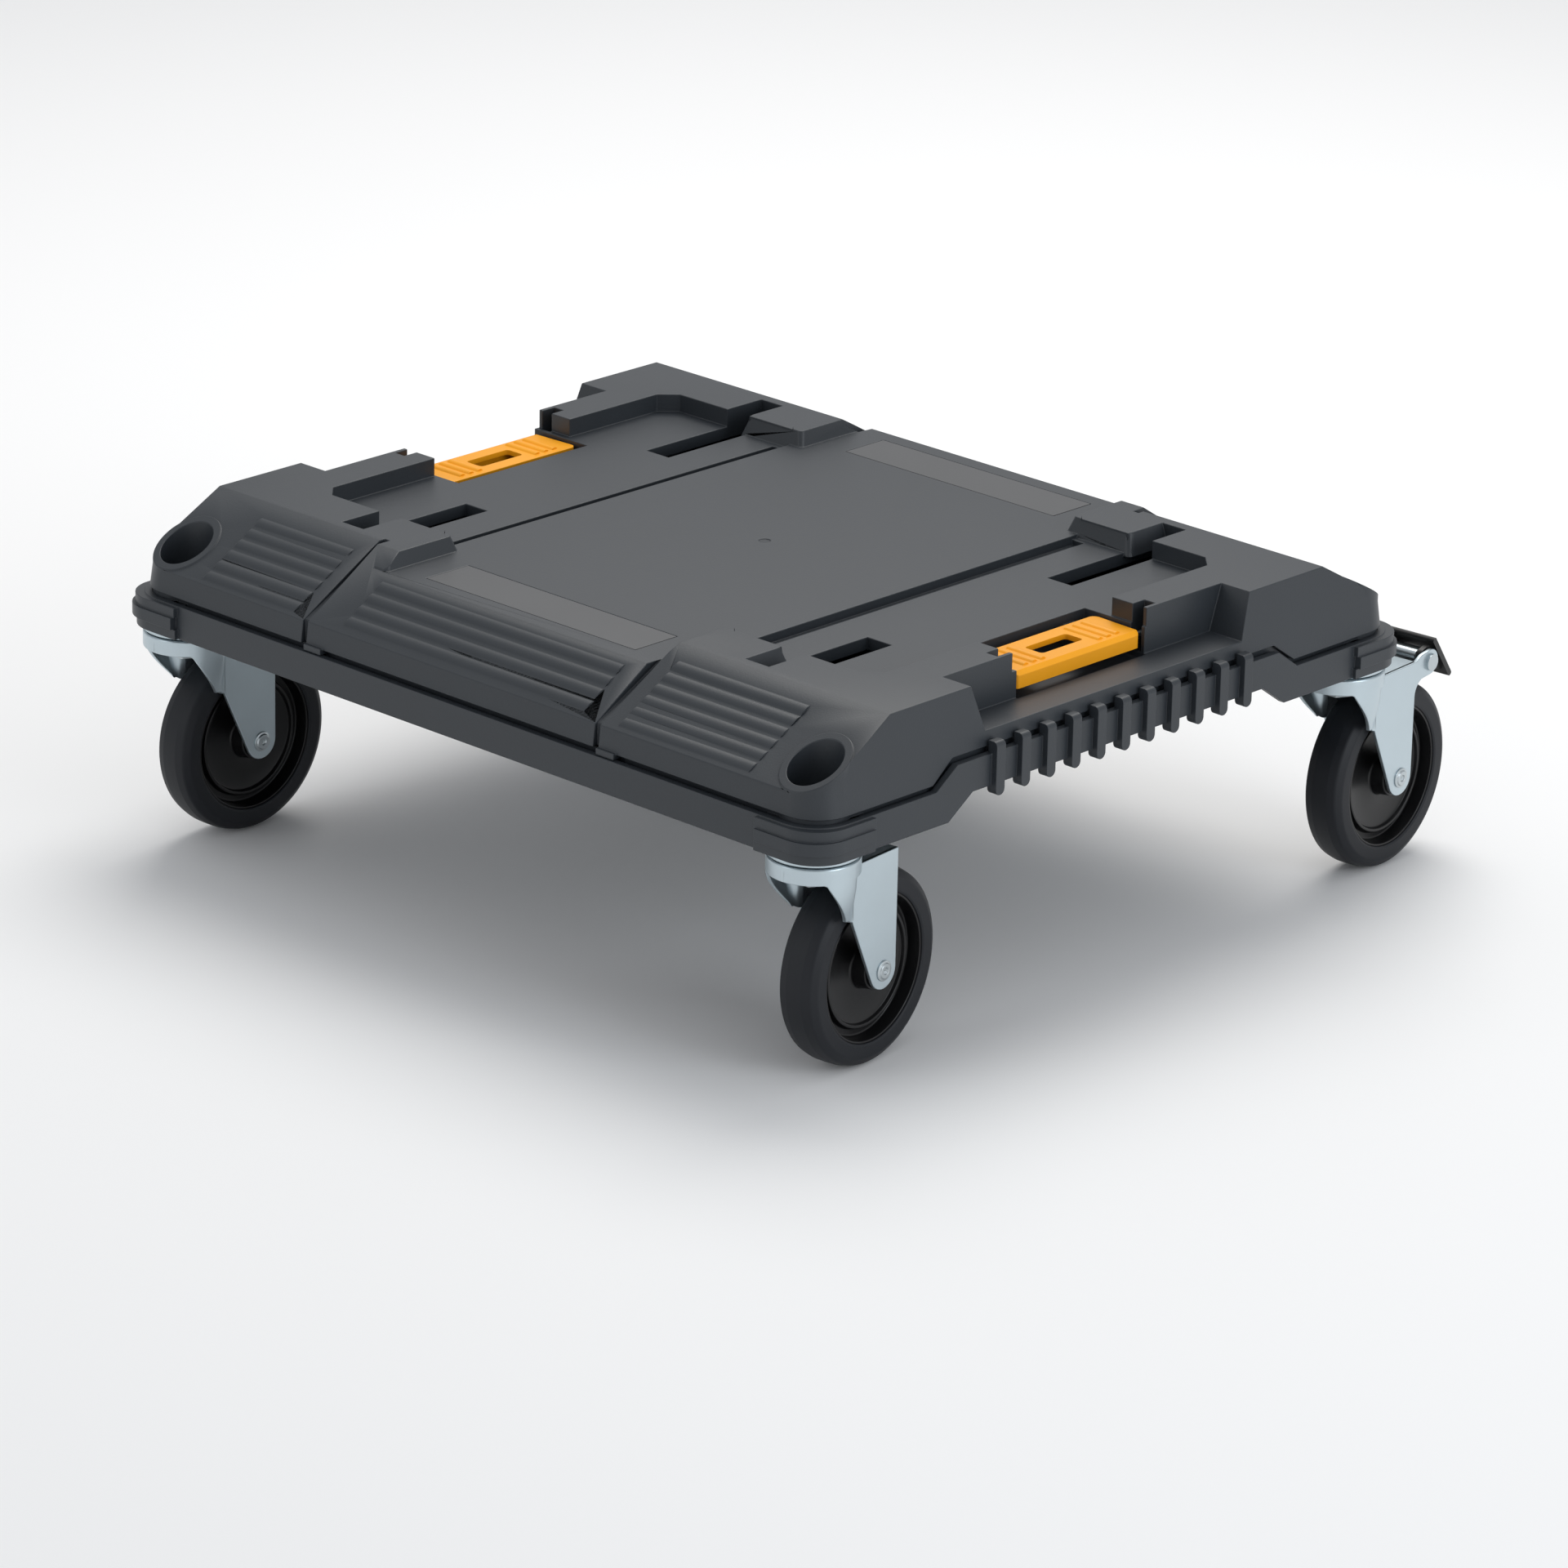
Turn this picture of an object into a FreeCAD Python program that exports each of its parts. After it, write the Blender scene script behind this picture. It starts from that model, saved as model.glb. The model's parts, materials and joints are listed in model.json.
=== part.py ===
import FreeCAD, Part
import math
import os
import re
import types

import Sketcher

# Four-castor carrier dolly for stackable tool boxes. Millimetres, +Z up, floor at z = 0.
# The deck is laid out about its own middle; frame_shift then moves everything along Y, so that
# the origin is the middle of the footprint with all four castors trailing towards +Y.
SIZES = {
    # deck heights
    "deck_top": 185.5,
    "floor_level": 175.5,
    "centre_level": 177.5,
    "groove_level": 172.5,
    "ledge_level": 161.3,
    "ramp_foot_level": 155.0,
    "seam_level": 141.5,
    "seam_raised": 152.0,
    "skirt_bottom": 122.2,
    "skirt_raised": 134.0,
    "arch_foot_half_y": 126.7,
    "arch_crown_half_y": 109.6,
    "seam_gap": 2.6,
    "tab_long": 12.5,
    "skin": 4.0,
    # deck outline, half sizes from the middle
    "border_half_x": 240.3,
    "border_half_y": 162.5,
    "wall_half_x": 245.6,
    "wall_half_y": 217.6,
    "ramp_foot_half_y": 216.0,
    "skirt_half_x": 248.0,
    "skirt_half_y": 220.6,
    "corner_radius": 19.5,
    "bumper_radius": 20.0,
    "bumper_reach": 42.0,
    # deck surface layout
    "centre_half_x": 104.0,
    "groove_width": 8.0,
    "groove_half_y": 123.0,
    "well_half_x": 198.0,
    "well_half_y": 129.5,
    "well_corner": 9.0,
    "slot_near_x": 136.5,
    "slot_far_x": 153.0,
    "slot_near_y": 67.5,
    "slot_front_end": 114.0,
    "slot_rear_end": 154.0,
    "pocket_near_y": 136.0,
    "block_near_x": 98.0,
    "block_far_x": 137.0,
    "block_draft": 4.0,
    "badge_half_x": 75.0,
    "badge_near_y": 140.5,
    "badge_far_y": 170.5,
    "badge_thick": 1.2,
    # ramps
    "middle_foot_level": 154.6,
    "middle_foot_half_y": 216.5,
    "middle_top_half_y": 180.3,
    "ramp_groove_left": 116.0,
    "ramp_groove_right": 95.0,
    "ramp_groove_width": 3.6,
    "ramp_groove_deep": 3.4,
    "ridge_high": 0.9,
    "ridge_half_width": 3.7,
    # side recesses and latches
    "notch_wall_x": 221.5,
    "notch_top_half_y": 104.5,
    "notch_foot_half_y": 96.4,
    "bay_near_x": 181.0,
    "bay_far_y": 50.0,
    "bay_near_y": 46.0,
    "bar_far_y": 53.5,
    "bar_near_y": 47.0,
    "bar_slot_near_x": 212.0,
    "latch_near_x": 188.0,
    "latch_far_x": 220.0,
    "latch_half_y": 47.3,
    "latch_shift": 2.0,
    "latch_top": 173.6,
    "latch_thick": 9.0,
    "latch_skin": 3.0,
    "latch_skirt_x": 210.5,
    "latch_window_half_y": 15.5,
    "latch_window_near_x": 197.0,
    "latch_window_far_x": 209.0,
    "latch_ridge_pitch": 6.4,
    "latch_ridge_radius": 2.8,
    "latch_ridge_high": 1.2,
    "latch_edge": 2.2,
    "latch_pin_radius": 2.0,
    "latch_pin_x": 214.5,
    # grip ribs along the skirt sides
    "rib_pitch": 18.66,
    "rib_width": 6.5,
    "rib_proud": 3.4,
    "rib_top": 157.0,
    "rib_bottom": 129.0,
    # lower pan
    "collar_set_back": 4.0,
    "seam_step_far": 136.0,
    "seam_step_near": 121.0,
    "pan_level": 136.0,
    "pan_thick": 3.0,
    "pan_rib_low": 127.0,
    "pan_rib_thick": 2.4,
    "pan_pitch": 70.0,
    "pan_rib_reach_x": 208.0,
    "pan_rib_reach_y": 190.0,
    "skirt_wall": 4.0,
    "post_radius": 5.5,
    "screw_radius": 2.0,
    "screw_head_radius": 3.8,
    "screw_head_high": 2.6,
    # castors
    "castor_x": 225.7,
    "castor_y": 198.5,
    "frame_shift": -31.1,
    "hole_radius": 13.8,
    "hole_rim": 17.8,
    "rim_high": 0.8,
    "seat_level": 122.2,
    "seat_thick": 6.0,
    "bolt_radius": 5.0,
    "bolt_head_high": 7.0,
    "bolt_head_flats": 17.0,
    "washer_radius": 12.0,
    "washer_thick": 2.0,
    "trail": 37.0,
    "wheel_radius": 51.0,
    "wheel_half_width": 11.6,
    "tyre_inner": 39.0,
    "hub_half_width": 13.2,
    "hub_boss_radius": 11.0,
    "bush_radius": 7.0,
    "axle_radius": 4.0,
    "axle_head_radius": 5.2,
    "running_gap": 0.08,
    "fork_half_width": 16.4,
    "sheet_thick": 2.5,
    "fork_top": 112.0,
    "bowl_radius": 23.8,
    "bowl_low": 105.5,
    "race_low": 113.2,
    "seat_radius": 24.0,
    "race_lip": 23.8,
    "ball_radius": 3.2,
    "ball_circle": 15.6,
    "king_radius": 8.0,
    "leg_tip_radius": 9.8,
    "leg_root_front": -6.0,
    "pivot_y": 60.0,
    "pivot_level": 109.5,
    "pivot_radius": 3.0,
    "ear_radius": 7.0,
    "pedal_half_width": 16.2,
    "pedal_thick": 3.0,
    "pedal_top": 120.6,
}
CASTORS = {
    # name: side along X, side along Y, yaw at rest in degrees, braked
    "front_left": (-1, -1, 0.0, False),
    "front_right": (1, -1, 5.9, False),
    "rear_left": (-1, 1, 2.0, True),
    "rear_right": (1, 1, 4.7, True),
}
# screw posts
POSTS = [(x, y) for x in (-60, 60) for y in (-135, -45, 45, 135)]
POSTS += [(x, y) for x in (-125, 125) for y in (-20, 20)]
POSTS += [(x, y) for x in (-166, 166) for y in (-100, 100)]
# tread ridges on the front ramp: low and high end along X, first ridge, pitch, count, panel
RIDGE_BANDS = {
    "middle": (-92, 82, 8.5, 8.6, 4, "middle"),
    "near": (-197, -127, 14.0, 8.3, 6, "flank"),
    "far": (107, 196, 14.0, 8.3, 6, "flank"),
}
# bumper steps: low end, high end and how far each stands proud
BUMPER_TIERS = ((122.2, 127.6, 2.4), (127.6, 134.2, 4.0), (134.2, 139.6, 2.8))
RIB_COUNT = 11
BALL_COUNT = 12
SIDES = (-1, 1)

size = types.SimpleNamespace(**SIZES)
doc = FreeCAD.newDocument("box_carrier")
sheet = doc.addObject("Spreadsheet::Sheet", "Sizes")
for row, (alias, value) in enumerate(SIZES.items(), start=1):
    sheet.set(f"A{row}", alias)
    sheet.set(f"B{row}", str(value))
    sheet.setAlias(f"B{row}", alias)
doc.recompute()
parts = {}


# ---------------------------------------------------------------- small helpers
def bound(text):
    """Turn the sizes named in an expression into references to the sheet's cells."""
    return re.sub(r"[a-z_]+", lambda word: "Sizes." + word.group(0) if word.group(0) in SIZES
                  else word.group(0), text)


def bind(feature, **expressions):
    for path, text in expressions.items():
        feature.setExpression(path.replace("__", "."), bound(str(text)))
    return feature


def span(side, near, far):
    """The low and high end of a stretch that runs outward from near to far on one side."""
    if side > 0:
        return f"({near})", f"({far})"
    return f"-({far})", f"-({near})"


def box(name, x, y, z):
    """A block between two ends on each axis, each end an expression."""
    block = doc.addObject("Part::Box", name)
    bind(block, Length=f"{x[1]} - ({x[0]})", Width=f"{y[1]} - ({y[0]})", Height=f"{z[1]} - ({z[0]})",
         Placement__Base__x=x[0], Placement__Base__y=y[0], Placement__Base__z=z[0])
    return block


def cylinder(name, radius, low, high, x="0", y="0"):
    """An upright cylinder."""
    rod = doc.addObject("Part::Cylinder", name)
    bind(rod, Radius=radius, Height=f"{high} - ({low})",
         Placement__Base__x=x, Placement__Base__y=y, Placement__Base__z=low)
    return rod


def rod_along_x(name, radius, start, end, y, z):
    """A cylinder lying along X."""
    rod = doc.addObject("Part::Cylinder", name)
    rod.Placement = FreeCAD.Placement(FreeCAD.Vector(), FreeCAD.Rotation(FreeCAD.Vector(0, 1, 0), 90))
    bind(rod, Radius=radius, Height=f"{end} - ({start})",
         Placement__Base__x=start, Placement__Base__y=y, Placement__Base__z=z)
    return rod


def rod_along_y(name, radius, start, end, x, z):
    """A cylinder lying along Y."""
    rod = doc.addObject("Part::Cylinder", name)
    rod.Placement = FreeCAD.Placement(FreeCAD.Vector(), FreeCAD.Rotation(FreeCAD.Vector(1, 0, 0), -90))
    bind(rod, Radius=radius, Height=f"{end} - ({start})",
         Placement__Base__x=x, Placement__Base__y=start, Placement__Base__z=z)
    return rod


def ball(name, radius, x, y, z):
    sphere = doc.addObject("Part::Sphere", name)
    bind(sphere, Radius=radius, Placement__Base__x=x, Placement__Base__y=y, Placement__Base__z=z)
    return sphere


def fuse(name, shapes):
    joined = doc.addObject("Part::MultiFuse", name)
    joined.Shapes = shapes
    return joined


def cut(name, base, tools):
    result = doc.addObject("Part::Cut", name)
    result.Base = base
    result.Tool = tools[0] if len(tools) == 1 else fuse(name + "_tools", tools)
    return result


def round_corners(points):
    """Edges of a closed outline of (u, v) or (u, v, radius) points, its corners as arcs."""
    ring = []
    for index, point in enumerate(points):
        here = FreeCAD.Vector(point[0], point[1], 0)
        radius = point[2] if len(point) > 2 else 0
        if not radius:
            ring.append((here, None, here))
            continue
        before = FreeCAD.Vector(*points[index - 1][:2], 0) - here
        after = FreeCAD.Vector(*points[(index + 1) % len(points)][:2], 0) - here
        half = before.getAngle(after) / 2
        before.normalize()
        after.normalize()
        reach = radius / math.tan(half)
        middle = before + after
        middle.normalize()
        top = here + middle * (radius / math.sin(half) - radius)
        ring.append((here + before * reach, top, here + after * reach))
    edges = []
    for index, (_, _, leave) in enumerate(ring):
        enter, top, end = ring[(index + 1) % len(ring)]
        if (enter - leave).Length > 1e-6:
            edges.append(Part.LineSegment(leave, enter))
        if top is not None:
            edges.append(Part.Arc(enter, top, end))
    return edges


PLANES = {
    "XY": FreeCAD.Rotation(),
    "XZ": FreeCAD.Rotation(FreeCAD.Vector(1, 0, 0), 90),
    "YZ": FreeCAD.Rotation(FreeCAD.Vector(1, 1, 1), 120),
}


def sketch(name, plane, points, offset=0.0):
    """A sketch of one closed outline, offset along its plane's normal."""
    flat = doc.addObject("Sketcher::SketchObject", name)
    turn = PLANES[plane]
    flat.Placement = FreeCAD.Placement(turn.multVec(FreeCAD.Vector(0, 0, offset)), turn)
    flat.addGeometry(round_corners(points), False)
    return flat


def prism(name, plane, points, low, high):
    """An outline pushed along its plane's normal from low to high, both expressions."""
    solid = doc.addObject("Part::Extrusion", name)
    solid.Base = sketch(name + "_outline", plane, points)
    solid.DirMode = "Normal"
    solid.Solid = True
    bind(solid, LengthFwd=high, LengthRev=f"-({low})")
    return solid


def loft(name, low_points, low, high_points, high):
    """A drafted solid between two flat outlines at two heights."""
    solid = doc.addObject("Part::Loft", name)
    solid.Sections = [sketch(name + "_low", "XY", low_points, low),
                      sketch(name + "_high", "XY", high_points, high)]
    solid.Solid = True
    solid.Ruled = True
    return solid


def rectangle(x0, x1, y0, y1, radius=0.0):
    return [(x0, y0, radius), (x1, y0, radius), (x1, y1, radius), (x0, y1, radius)]


def rectangle_ends(near, far, half):
    """The four corners of a rectangle that is centred across."""
    return [(near, -half), (far, -half), (far, half), (near, half)]


def centred(half_x, half_y, radius=0.0):
    return rectangle(-half_x, half_x, -half_y, half_y, radius)


def turned(name, profile):
    """A body turned about the Z axis from a profile of (radius, height) points."""
    body = doc.addObject("PartDesign::Body", name)
    outline = body.newObject("Sketcher::SketchObject", name + "_profile")
    plane = next(f for f in body.Origin.OriginFeatures if f.Role == "XZ_Plane")
    outline.AttachmentSupport = [(plane, "")]
    outline.MapMode = "FlatFace"
    outline.addGeometry(round_corners(profile), False)
    spin = body.newObject("PartDesign::Revolution", name + "_turn")
    spin.Profile = outline
    spin.ReferenceAxis = (outline, ["V_Axis"])
    spin.Angle = 360
    body.Tip = spin
    return body


def hexagon(name, flats, low, high, x="0", y="0"):
    nut = doc.addObject("Part::Prism", name)
    nut.Polygon = 6
    bind(nut, Circumradius=f"{flats} / sqrt(3)", Height=f"{high} - ({low})",
         Placement__Base__x=x, Placement__Base__y=y, Placement__Base__z=low)
    return nut


def finish(node, feature, x="0", y="frame_shift", yaw=0.0, turn=None):
    """Name a sub-part and put it in its place on the carrier."""
    feature.Label = node
    spin = FreeCAD.Rotation(FreeCAD.Vector(0, 0, 1), yaw)
    feature.Placement = FreeCAD.Placement(FreeCAD.Vector(), spin.multiply(turn) if turn else spin)
    bind(feature, Placement__Base__x=x, Placement__Base__y=y)
    parts[node] = feature
    return feature


# ---------------------------------------------------------------- the ramps
# top edge and foot of the flanking panels and of the steeper middle panel, as (half y, height)
PANELS = {
    "flank": ((size.border_half_y, size.deck_top), (size.ramp_foot_half_y, size.ramp_foot_level)),
    "middle": ((size.middle_top_half_y, size.centre_level),
               (size.middle_foot_half_y, size.middle_foot_level)),
}


def ramp_point(along, lift=0.0, panel="flank"):
    """Distance from the middle and height of a point down a ramp panel, lifted off its face."""
    (top_y, top_z), (foot_y, foot_z) = PANELS[panel]
    slope = math.atan2(top_z - foot_z, foot_y - top_y)
    y = top_y + along * math.cos(slope) + lift * math.sin(slope)
    z = top_z - along * math.sin(slope) + lift * math.cos(slope)
    return y, z


def above_ramp(name, side, lift):
    """All that lies above one end's three ramp panels, lifted by some height."""
    past, spare, wide = 120.0, 60.0, 260.0
    grooves = sorted((side * size.ramp_groove_left, -side * size.ramp_groove_right))
    edges = [-wide, *grooves, wide]
    wedges = []
    for index, panel in enumerate(("flank", "middle", "flank")):
        start, end = ramp_point(-spare, lift, panel), ramp_point(past, lift, panel)
        points = [start, end, (end[0], start[1] + spare), (start[0], start[1] + spare)]
        wedges.append(prism(f"{name}_{index}", "YZ", [(side * y, z) for y, z in points],
                            str(edges[index]), str(edges[index + 1])))
    return fuse(name, wedges)


# ---------------------------------------------------------------- upper moulding
def deck_shell():
    raised = size.seam_raised
    seam = size.seam_level + size.seam_gap / 2
    bare = loft("deck_bare",
                centred(size.wall_half_x, size.wall_half_y, size.corner_radius), seam,
                centred(size.border_half_x, size.wall_half_y - 5.3, size.corner_radius - 4), size.deck_top)
    tools = []
    for side in SIDES:
        end = "front" if side < 0 else "rear"
        tools.append(above_ramp(f"ramp_{end}", side, 0.0))
        # centre panel runs out over the ramp's shortened middle section
        reach = span(side, "0", "middle_top_half_y + 4")
        tools.append(box(f"centre_{end}", ("-centre_half_x", "centre_half_x"), reach,
                         ("centre_level", "deck_top + 1")))
        for flank in SIDES:
            tag = f"{end}_{'left' if flank < 0 else 'right'}"
            corner = size.well_corner
            bar_end = "bar_far_y" if side * flank < 0 else "bar_near_y"
            outline = [(flank * size.centre_half_x, 0), (flank * size.well_half_x, 0),
                       (flank * size.well_half_x, side * (size.well_half_y - corner)),
                       (flank * (size.well_half_x - corner), side * size.well_half_y),
                       (flank * size.centre_half_x, side * size.well_half_y)]
            tools.append(prism("well_" + tag, "XY", outline, "floor_level", "deck_top + 1"))
            far = "slot_rear_end" if side > 0 else "slot_front_end"
            tools.append(box("slot_" + tag, span(flank, "slot_near_x", "slot_far_x"),
                             span(side, "slot_near_y", far), ("seam_level", "deck_top + 1")))
            across = span(flank, "slot_near_x", "slot_far_x")
            tools.append(box("pocket_" + tag, across, span(side, "well_half_y - 1", "slot_rear_end + 2"),
                             ("floor_level", "deck_top + 1")))
            if side < 0:
                tools.append(box("pocket_deep_" + tag, across,
                                 span(side, "pocket_near_y", "slot_rear_end + 2"),
                                 ("seam_level", "deck_top + 1")))
            tools.append(box("groove_" + tag, span(flank, "centre_half_x", "centre_half_x + groove_width"),
                             span(side, "0", "groove_half_y"), ("groove_level", "deck_top")))
            tools.append(box("bar_gap_" + tag, span(flank, "well_half_x - 1", "wall_half_x"),
                             span(side, "0", bar_end), ("floor_level", "deck_top + 1")))
            tools.append(box("bar_slot_" + tag, span(flank, "bar_slot_near_x", "notch_wall_x - 2.5"),
                             span(side, f"{bar_end} - 1", f"{bar_end} + 9"),
                             ("ledge_level", "deck_top + 1")))
    for flank in SIDES:
        hand = "left" if flank < 0 else "right"
        out = span(flank, "notch_wall_x", "wall_half_x + 8")
        top, foot = size.notch_top_half_y, size.notch_foot_half_y
        outline = [(-foot, size.ledge_level), (foot, size.ledge_level),
                   (top, size.deck_top), (top, size.deck_top + 5), (-top, size.deck_top + 5),
                   (-top, size.deck_top)]
        tools.append(prism("notch_" + hand, "YZ", outline, out[0], out[1]))
        tools.append(box("bay_" + hand, span(flank, "bay_near_x", "notch_wall_x + 1"),
                         span(-flank, "-bay_near_y", "bay_far_y"), ("ledge_level - 3", "deck_top + 1")))
        far, near = size.seam_step_far, size.seam_step_near
        seam_rise = [(-far, seam - 5), (far, seam - 5), (far, seam), (near, raised + size.seam_gap / 2),
                     (-near, raised + size.seam_gap / 2), (-far, seam)]
        out = span(flank, "wall_half_x - 12", "wall_half_x + 8")
        tools.append(prism("seam_rise_" + hand, "YZ", seam_rise, out[0], out[1]))
    carved = cut("deck_carved", bare, tools)

    # four raised blocks beside the centre panel, drafted on every side
    adds = [carved]
    draft = size.block_draft
    for side in SIDES:
        for flank in SIDES:
            tag = f"{side}_{flank}".replace("-", "m")
            x0, x1 = sorted((flank * size.block_near_x, flank * size.block_far_x))
            y0, y1 = sorted((side * (size.well_half_y + 0.5), side * (size.border_half_y + 14)))
            adds.append(loft("block_" + tag,
                             rectangle(x0 - draft, x1 + draft, y0 - draft, y1 + draft, 3.0),
                             size.floor_level - 2,
                             rectangle(x0, x1, y0, y1, 3.0), size.deck_top))
    blocked = cut("deck_blocked", fuse("deck_blocks", adds),
                  [above_ramp("ramp_again_front", -1, 0.0), above_ramp("ramp_again_rear", 1, 0.0)])

    # tread ridges across the ramps
    adds = [blocked]
    sink = (size.ridge_half_width ** 2 - size.ridge_high ** 2) / (2 * size.ridge_high)
    ridge_radius = sink + size.ridge_high
    for side in SIDES:
        for band, (low, high, first, pitch, count, panel) in RIDGE_BANDS.items():
            if side > 0:
                low, high = -high, -low
            for step in range(count):
                y, z = ramp_point(first + step * pitch, -sink, panel)
                name = f"ridge_{band}_{step}_{'rear' if side > 0 else 'front'}"
                adds.append(rod_along_x(name, ridge_radius, low, high, side * y, z))
    ridged = fuse("deck_ridged", adds)

    # hollow underside
    hollows = [box("hollow_middle", ("-(bay_near_x - skin)", "bay_near_x - skin"),
                   ("-(border_half_y - 2)", "border_half_y - 2"),
                   ("seam_level - 1", "groove_level - skin"))]
    for side in SIDES:
        end = "front" if side < 0 else "rear"
        reach = span(side, "border_half_y - 3", "wall_half_y - skin")
        under = box(f"hollow_ramp_{end}", ("-(castor_x - hole_rim - skin)",
                                           "castor_x - hole_rim - skin"), reach,
                    ("seam_level - 1", "groove_level - skin"))
        hollows.append(cut(f"hollow_under_ramp_{end}", under,
                           [above_ramp(f"ramp_skin_{end}", side, -size.skin - 1)]))
        for flank in SIDES:
            tag = f"{end}_{'left' if flank < 0 else 'right'}"
            hollows.append(box("hollow_flank_" + tag, span(flank, "bay_near_x - skin - 1",
                                                           "notch_wall_x - skin"),
                               span(side, "bar_far_y + 14", "border_half_y - 2"),
                               ("seam_level - 1", "groove_level - skin")))
            hollows.append(box("hollow_wall_" + tag, span(flank, "notch_wall_x - skin - 1",
                                                          "border_half_x - skin"),
                               span(side, "notch_top_half_y + skin", "border_half_y - 2"),
                               ("seam_level - 1", "deck_top - skin")))
    for flank in SIDES:
        hand = "left" if flank < 0 else "right"
        hollows.append(box("hollow_ledge_" + hand, span(flank, "notch_wall_x - skin - 1",
                                                        "wall_half_x - 14"),
                           ("-(notch_foot_half_y - 6)", "notch_foot_half_y - 6"),
                           ("seam_level - 1", "ledge_level - 3 - skin")))
    adds = [cut("deck_hollow", ridged, hollows)]

    # corner rims, latch rests, grooves, holes and the small things
    for side in SIDES:
        for flank in SIDES:
            tag = f"{side}_{flank}".replace("-", "m")
            x, y = f"{flank} * castor_x", f"{side} * castor_y"
            post = cylinder("rim_post_" + tag, "hole_rim", "seam_level + seam_gap / 2", "deck_top", x, y)
            adds.append(cut("rim_" + tag, post, [above_ramp("rim_top_" + tag, side, size.rim_high)]))
        for flank in SIDES:
            adds.append(box(f"latch_rest_{side + 1}_{flank + 1}",
                            span(flank, "bay_near_x - 0.5", "latch_near_x + 3"),
                            span(side, "bay_near_y - 16", "bay_near_y - 8"),
                            ("ledge_level - 3.5", "latch_top - latch_skin - 0.3")))
        # a small tab at the foot of each ramp groove bridges the seam
        for mark, x in (("a", side * size.ramp_groove_left), ("b", -side * size.ramp_groove_right)):
            edge = size.ramp_groove_width / 2
            ends = sorted((x - side * edge, x - side * (edge + size.tab_long)))
            adds.append(box(f"seam_tab_{side + 1}_{mark}", ends,
                            span(side, "wall_half_y - 3", "wall_half_y + 1.8"),
                            ("seam_level - seam_gap / 2 + 0.1", "seam_level + seam_gap / 2 + 1")))
    dressed = fuse("deck_dressed", adds)
    tools = []
    for side in SIDES:
        for flank in SIDES:
            tag = f"{side}_{flank}".replace("-", "m")
            tools.append(cylinder("hole_" + tag, "hole_radius", "seam_level - 5", "deck_top + 5",
                                  f"{flank} * castor_x", f"{side} * castor_y"))
        end = "front" if side < 0 else "rear"
        for mark, x in (("a", side * size.ramp_groove_left), ("b", -side * size.ramp_groove_right)):
            half = size.ramp_groove_width / 2
            low, high = ramp_point(-2.0, -size.ramp_groove_deep), ramp_point(59, -size.ramp_groove_deep)
            wall = size.wall_half_y - size.ramp_groove_deep
            points = [low, (wall, high[1] + 1.5), (wall, size.seam_level), (wall + 12, size.seam_level),
                      (wall + 12, size.deck_top), (low[0], size.deck_top + 5)]
            tools.append(prism(f"ramp_groove_{mark}_{end}", "YZ", [(side * y, z) for y, z in points],
                               x - half, x + half))
        tools.append(box(f"badge_recess_{end}", ("-badge_half_x", "badge_half_x"),
                         span(side, "badge_near_y", "badge_far_y"),
                         ("centre_level - badge_thick", "deck_top")))
        for flank in SIDES:
            hand = "left" if flank < 0 else "right"
            tools.append(rod_along_y(f"pin_hole_{hand}_{end}", "latch_pin_radius",
                                     *span(side, "latch_half_y - latch_shift - 2", "bar_far_y + 16"),
                                     f"{flank} * latch_pin_x", "latch_top - latch_thick / 2"))
    tools.append(cylinder("gate_mark", "3", "centre_level - 0.5", "deck_top"))
    return cut("deck_shell_solid", dressed, tools)


# ---------------------------------------------------------------- lower moulding
def seam_profile(height):
    """The stepped line of the side seam, moved up or down by some height."""
    return [(size.seam_step_far, size.seam_level + height),
            (size.seam_step_near, size.seam_raised + height)]


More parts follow.
